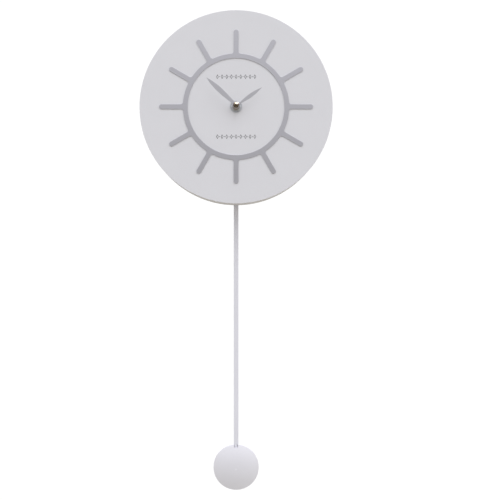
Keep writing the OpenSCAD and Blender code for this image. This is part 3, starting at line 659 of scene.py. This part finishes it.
def hex_nut():
    """A hexagon with its corners turned off at the front."""
    back, front = depths("bush_nut")
    angles = [360 * i / NUT_STEPS for i in range(NUT_STEPS)]
    turned = NUT_FLATS / 2 * NUT_TURNED
    hexagon = [polar(NUT_FLATS / 2 / math.cos(math.radians(a % 60 - 30)), a) for a in angles]

    def ring(radius):
        return [polar(radius, a) for a in angles]

    bm = bmesh.new()
    chamfer = [bm.verts.new(place(x, z, front - (math.hypot(x, z) - turned) * NUT_SLOPE))
               for x, z in hexagon]
    loops = [add_loop(bm, ring(NUT_BORE), back), add_loop(bm, hexagon, back), chamfer,
             add_loop(bm, ring(turned), front),
             add_loop(bm, ring(NUT_BORE + NUT_BORE_EDGE), front),
             add_loop(bm, ring(NUT_BORE), front - NUT_BORE_EDGE)]
    for first, second in zip(loops, loops[1:] + loops[:1]):
        join_loops(bm, first, second)
    replace_nodes("hex_nut", bm, "bush_nut")


# ---- Pendulum ----

ROD_WIDTH, TONGUE_WIDTH = 6.2, 3.4
ROD_EDGE = 0.25
ROD_SHOULDER_RISE = 0.6
HOOK_DROP = 92
EYE_R, EYE_BORE, EYE_STEPS = 5, 1.55, 24


def rod_outline(inset):
    """A strip with a round eye at the top and a narrower tongue that sits in the bob."""
    eye = EYE_R - inset
    half = ROD_WIDTH / 2 - inset
    tongue = TONGUE_WIDTH / 2 - inset
    bob_top = edges_of("bob")[3]
    shoulder = bob_top + ROD_SHOULDER_RISE + inset
    end = edges_of("pendulum_rod")[2] + inset
    start = -90 + math.degrees(math.asin(half / eye))
    right = [(tongue, end), (tongue, shoulder), (half, shoulder)]
    right += [(x, z - HOOK_DROP) for x, z in
              (polar(eye, start + (90 - start) * i / EYE_STEPS) for i in range(EYE_STEPS + 1))]
    return right + [(-x, z) for x, z in reversed(right[:-1])]


def rod_strip():
    back, front = depths("pendulum_rod")
    bm = bmesh.new()
    plate(bm, [rod_outline, round_hole(EYE_BORE, (0, -HOOK_DROP), 32)], back, front, ROD_EDGE)
    replace_nodes("rod_strip", bm, "pendulum_rod")


# ---- Back ----

PLATE_W, PLATE_LOW, PLATE_HIGH, PLATE_CORNER, PLATE_EDGE = 50, -10, 16, 4, 0.2
PLATE_SCREW_X, PLATE_SCREW_Z, PLATE_SCREW_HOLE = 19, 3, 2.75
KEYHOLE_R, KEYHOLE_SLOT, KEYHOLE_RISE = 4.5, 4.6, 8


def hanger_place(x, z):
    """From the keyhole's round entry, which is the frame's origin, to the face's centre."""
    return x - FACE_X / MM, z - FACE_Z / MM


def keyhole_plate():
    back, front = depths("keyhole_plate")

    def rim(inset):
        half = PLATE_W / 2 - inset
        low, high = PLATE_LOW + inset, PLATE_HIGH - inset
        corners = [(half, low, PLATE_CORNER), (half, high, PLATE_CORNER),
                   (-half, high, PLATE_CORNER), (-half, low, PLATE_CORNER)]
        return [hanger_place(x, z) for x, z in eased(corners, steps=8)]

    def keyhole(inset):
        slot = KEYHOLE_SLOT / 2 + inset
        entry = KEYHOLE_R + inset
        meet = math.degrees(math.asin(slot / entry))
        points = [polar(entry, 90 + meet + (360 - 2 * meet) * i / 40) for i in range(41)]
        points += [(x, z + KEYHOLE_RISE) for x, z in
                   (polar(slot, 180 * i / 16) for i in range(17))]
        return [hanger_place(x, z) for x, z in points]

    bm = bmesh.new()
    holes = [round_hole(PLATE_SCREW_HOLE, hanger_place(side * PLATE_SCREW_X, PLATE_SCREW_Z), 48)
             for side in (-1, 1)]
    plate(bm, [rim, keyhole] + holes, back, front, PLATE_EDGE)
    replace_nodes("keyhole_plate_pressed", bm, "keyhole_plate")


def wall_bumpers():
    """Two soft posts, rounded where they press on the wall."""
    low_x, high_x, low_z, high_z = edges_of("wall_spacers")
    back, front = depths("wall_spacers")
    radius = (high_z - low_z) / 2
    bm = bmesh.new()
    profile = eased([(0, front), (radius, front), (radius, back + 0.2, 1.6), (0, back)],
                    closed=False, steps=8)
    for x in (low_x + radius, high_x - radius):
        lathe(bm, profile, at=(x, (low_z + high_z) / 2), closed=False)
    replace_nodes("wall_bumpers", bm, "wall_spacers")


def battery_cell():
    """A cell with a rolled sleeve edge, a crimped shoulder and a drawn contact nub."""
    low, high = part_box("aa_battery")
    length = (high.x - low.x) / MM
    radius = (high.z - low.z) / 2 / MM
    middle = (low + high) / 2

    def point(r, degrees, along):
        y, z = polar(r, degrees)
        return Vector((low.x + along * MM, middle.y + y * MM, middle.z + z * MM))

    can = length - 1.2
    nub = 2.75
    corners = [(0, 0.25), (4.6, 0.25, 0.3), (5.0, 0, 0.15), (radius - 1.5, 0, 0.2),
               (radius - 0.3, 0.15, 0.3), (radius, 0.9, 0.4), (radius, can - 0.7, 0.4),
               (radius - 0.35, can - 0.1, 0.3), (radius - 1.3, can, 0.3),
               (radius - 1.7, can - 0.5, 0.3), (nub + 0.8, can - 0.4, 0.3),
               (nub, can - 0.2, 0.2), (nub - 0.1, length, 0.35), (0, length)]
    bm = bmesh.new()
    lathe(bm, eased(corners, closed=False), point=point, closed=False)
    replace_nodes("battery_cell", bm, "aa_battery")


WIRE = 0.42  # thickness of a bundle of wires in a winding
DRIVE_COIL_BORE = 4.05
STEPPER_BORE = (2.65, 1.15)  # half width and half depth of the stepper winding's hole
STEPPER_CORNER, STEPPER_BORE_CORNER = 0.8, 0.02


def wound(inner, outer, low, high):
    """Profile of a winding: a smooth bore and a row of rounded wires on the outside. Each point
    of a wire has its share of the pitch and how far it bulges."""
    wire_shape = ((0.98, 0.0), (0.75, 0.8), (0.5, 1.0), (0.25, 0.8))
    count = round((high - low) / WIRE)
    pitch = (high - low) / count
    points = [(inner, low), (inner, high)]
    for wire in reversed(range(count)):
        for share, bulge in wire_shape:
            points.append((outer - WIRE / 2 * (1 - bulge), low + (wire + share) * pitch))
    return points


def drive_winding():
    low, high = depths("drive_coil")
    bm = bmesh.new()
    lathe(bm, wound(DRIVE_COIL_BORE, radius_of("drive_coil"), low, high),
          at=spot("drive_coil"), steps=72)
    replace_nodes("drive_winding", bm, "drive_coil")


def stepper_winding():
    """Wire wound round the stepper's core, up the z axis, with rounded corners."""
    low_x, high_x, low_z, high_z = edges_of("stepper_coil")
    back, front = depths("stepper_coil")
    mid_x, mid_depth = (low_x + high_x) / 2, (back + front) / 2
    bm = bmesh.new()
    loops = []
    for reach, along in wound(0, 1, low_z, high_z):  # 0 in the bore, and up to 1 outside
        if reach:
            half_x, half_depth = (high_x - low_x) / 2 - 1 + reach, (front - back) / 2 - 1 + reach
            ease = STEPPER_CORNER
        else:
            half_x, half_depth = STEPPER_BORE
            ease = STEPPER_BORE_CORNER
        section = eased([(half_x, half_depth, ease), (-half_x, half_depth, ease),
                         (-half_x, -half_depth, ease), (half_x, -half_depth, ease)])
        loops.append([bm.verts.new(place(mid_x + a, along, mid_depth + b)) for a, b in section])
    for first, second in zip(loops, loops[1:] + loops[:1]):
        join_loops(bm, first, second)
    replace_nodes("stepper_winding", bm, "stepper_coil")


MARK_PROUD, MARK_SUNK = 0.25, 0.05
SIGN_X, SIGN_DROP, SIGN_ARM, SIGN_HALF = 19, 4.5, 2, 0.45
ARROW_START, ARROW_STOP, ARROW_STEPS = 130, 215, 16
ARROW_GAP, ARROW_HALF, ARROW_HEAD = 1.6, 0.4, 1.1
ARROW_LEAD = 11.7  # how far each head reaches past the end of the arc, in degrees


def raised_marks():
    """Plus and minus signs below the battery, and a double arrow round the setting knob, all
    moulded on the back cover."""
    back = depths("movement_back_cover")[0]
    knob_x, knob_z = spot("setting_knob")
    bm = bmesh.new()

    def bar(x, z, corners):
        moved = [(x + a, z + b) for a, b in corners]
        high = add_loop(bm, moved, back - MARK_PROUD)
        low = add_loop(bm, moved, back + MARK_SUNK)
        join_loops(bm, low, high)
        bm.faces.new(low)
        bm.faces.new(high)

    sign_z = edges_of("aa_battery")[2] - SIGN_DROP
    arm, half = SIGN_ARM, SIGN_HALF
    bar(-SIGN_X, sign_z, [(-arm, -half), (arm, -half), (arm, half), (-arm, half)])
    bar(SIGN_X, sign_z, [(-arm, -half), (-half, -half), (-half, -arm), (half, -arm),
                         (half, -half), (arm, -half), (arm, half), (half, half), (half, arm),
                         (-half, arm), (-half, half), (-arm, half)])
    radius = radius_of("setting_knob") + ARROW_GAP
    angles = [ARROW_START + (ARROW_STOP - ARROW_START) * i / ARROW_STEPS
              for i in range(ARROW_STEPS + 1)]
    outer = [polar(radius + ARROW_HALF, angle) for angle in angles]
    inner = [polar(radius - ARROW_HALF, angle) for angle in reversed(angles)]
    bar(knob_x, knob_z, outer + inner)
    for angle, lead in ((ARROW_START, -ARROW_LEAD), (ARROW_STOP, ARROW_LEAD)):
        bar(knob_x, knob_z, [polar(radius + ARROW_HEAD, angle), polar(radius, angle + lead),
                             polar(radius - ARROW_HEAD, angle)])
    finish_piece("cover_marks", bm, ["movement_back_cover"])


# ---- Camera ----

SENSOR = 36.0
LENS = 51.88
SHIFT_X = 0.0278
CAMERA_DEPTH = 0.94  # out from the wall
CAMERA_DROP = 0.1778  # below the face's centre


def make_camera():
    data = bpy.data.cameras.new("camera")
    data.sensor_width = SENSOR
    data.lens = LENS
    data.shift_x = SHIFT_X
    camera = bpy.data.objects.new("camera", data)
    camera.location = (FACE_X, -CAMERA_DEPTH, FACE_Z - CAMERA_DROP)
    camera.rotation_euler = (math.radians(90), 0, 0)
    bpy.context.scene.collection.objects.link(camera)
    bpy.context.scene.camera = camera


# ---- Finish of each CAD node ----

def dress_nodes():
    for name, node in NODES.items():
        node.data.materials.clear()
        node.data.materials.append(MATERIALS[SLOT_OF[name]])


# ---- Studio ----

LOW_LIGHT = (0.46, 0.435, 0.37, 1.0)
HIGH_LIGHT = (1.325, 1.335, 1.40, 1.0)
FRONT_SHARE = (0.45, 0.45, 0.46, 1.0)
LEFT_SHARE = (0.93, 0.93, 0.93, 1.0)
RIGHT_SHARE = (1.07, 1.07, 1.07, 1.0)
NO_CHANGE = (1.0, 1.0, 1.0, 1.0)
BACKDROP = (1.05, 1.05, 1.05, 1.0)
# Where each blend starts and stops, in the height, side or depth of the direction looked in
HEIGHT_BLEND = (-0.4, 0.4)
SIDE_BLEND = (-0.9, 0.9)
FRONT_BLEND = (-0.72, -0.98)
KEY_ELEVATION, KEY_TURN, KEY_DISTANCE = 58, 12, 1.5
KEY_STRENGTH = 0.31
KEY_SPREAD = 30
PANEL_ELEVATION, PANEL_TURN, PANEL_DISTANCE = 70, 40, 1.0
PANEL_SIZE = (1.6, 1.5)
PANEL_RADIANCE = 14.0


def make_world():
    """A soft studio: bright from the sides and above, dim in front, darker and warmer from
    below, and seen directly as a plain white backdrop."""
    world = bpy.data.worlds.new("studio")
    world.use_nodes = True
    bpy.context.scene.world = world
    tree = world.node_tree
    background = tree.nodes["Background"]
    direction = tree.nodes.new("ShaderNodeTexCoord").outputs["Generated"]
    axes = tree.nodes.new("ShaderNodeSeparateXYZ")
    tree.links.new(direction, axes.inputs[0])

    def ramp(value, start, stop):
        made = tree.nodes.new("ShaderNodeMapRange")
        made.interpolation_type = "SMOOTHSTEP"
        made.inputs["From Min"].default_value = start
        made.inputs["From Max"].default_value = stop
        tree.links.new(value, made.inputs["Value"])
        return made.outputs["Result"]

    def mixed(factor, first, second, blend="MIX"):
        made = tree.nodes.new("ShaderNodeMix")
        made.data_type = "RGBA"
        made.blend_type = blend
        made.clamp_result = False
        for value, socket in ((factor, made.inputs["Factor"]), (first, made.inputs["A"]),
                              (second, made.inputs["B"])):
            if isinstance(value, (float, tuple)):
                socket.default_value = value
            else:
                tree.links.new(value, socket)
        return made.outputs["Result"]

    height = ramp(axes.outputs["Z"], *HEIGHT_BLEND)
    side = ramp(axes.outputs["X"], *SIDE_BLEND)
    facing = ramp(axes.outputs["Y"], *FRONT_BLEND)
    lit = mixed(height, LOW_LIGHT, HIGH_LIGHT)
    lit = mixed(1.0, lit, mixed(side, LEFT_SHARE, RIGHT_SHARE), "MULTIPLY")
    lit = mixed(1.0, lit, mixed(facing, NO_CHANGE, FRONT_SHARE), "MULTIPLY")
    seen = tree.nodes.new("ShaderNodeLightPath").outputs["Is Camera Ray"]
    tree.links.new(mixed(seen, lit, BACKDROP), background.inputs["Color"])


def light_from(name, data, elevation, turn, distance):
    """Places a light in front of the clock, raised and turned to its right, facing the dial."""
    light = bpy.data.objects.new(name, data)
    rise, swing = math.radians(elevation), math.radians(turn)
    towards = Vector((math.sin(swing) * math.cos(rise), -math.cos(swing) * math.cos(rise),
                      math.sin(rise)))
    light.location = FACE + towards * distance
    light.rotation_mode = "QUATERNION"
    light.rotation_quaternion = towards.to_track_quat("Z", "Y")
    bpy.context.scene.collection.objects.link(light)
    return light


def make_lights():
    """A broad weak key, and a large overhead panel that only the polished cap mirrors."""
    key = bpy.data.lights.new("key", "SUN")
    key.energy = KEY_STRENGTH
    key.angle = math.radians(KEY_SPREAD)
    light_from("key", key, KEY_ELEVATION, KEY_TURN, KEY_DISTANCE)
    data = bpy.data.lights.new("cap_panel", "AREA")
    data.shape = "RECTANGLE"
    data.size, data.size_y = PANEL_SIZE
    data.energy = PANEL_RADIANCE * math.pi * PANEL_SIZE[0] * PANEL_SIZE[1]
    panel = light_from("cap_panel", data, PANEL_ELEVATION, PANEL_TURN, PANEL_DISTANCE)
    mirrors = bpy.data.collections.new("lit_by_cap_panel")
    mirrors.objects.link(bpy.data.objects["cap_dome"])
    panel.light_linking.receiver_collection = mirrors


def soften_hand_shadows():
    """Hides the hands from diffuse rays, so that the studio's light reaches the face through
    them and only the key light's weak shadow is left."""
    for name in ("minute_hand_leaf", "hour_hand_leaf"):
        bpy.data.objects[name].visible_diffuse = False


FLOOR_Z = -1.7
FLOOR_HALF = 0.7


def make_floor():
    """A pale patch of floor, well below the clock and out of the camera's view."""
    mesh = bpy.data.meshes.new("floor")
    corners = [(-1, -1), (1, -1), (1, 1), (-1, 1)]
    mesh.from_pydata([(x * FLOOR_HALF, y * FLOOR_HALF, FLOOR_Z) for x, y in corners], [],
                     [(0, 1, 2, 3)])
    floor = bpy.data.objects.new("floor", mesh)
    mesh.materials.append(mottled("floor_pale", rgb(224, 221, 216), shade=0.98, patch=300 * MM,
                                  rough=(0.7, 0.8), grain=2 * MM, bump=0.02 * MM))
    bpy.context.scene.collection.objects.link(floor)


# ---- The scene ----

dress_nodes()
for build in (face_board, band, sun_sheet, printed_rows, minute_hand, hour_hand, cap_dome, washer,
              hex_nut, rod_strip, keyhole_plate, wall_bumpers, battery_cell, drive_winding,
              stepper_winding, raised_marks):
    build()
make_world()
make_lights()
soften_hand_shadows()
make_floor()
make_camera()
bpy.context.scene.view_settings.view_transform = "Standard"
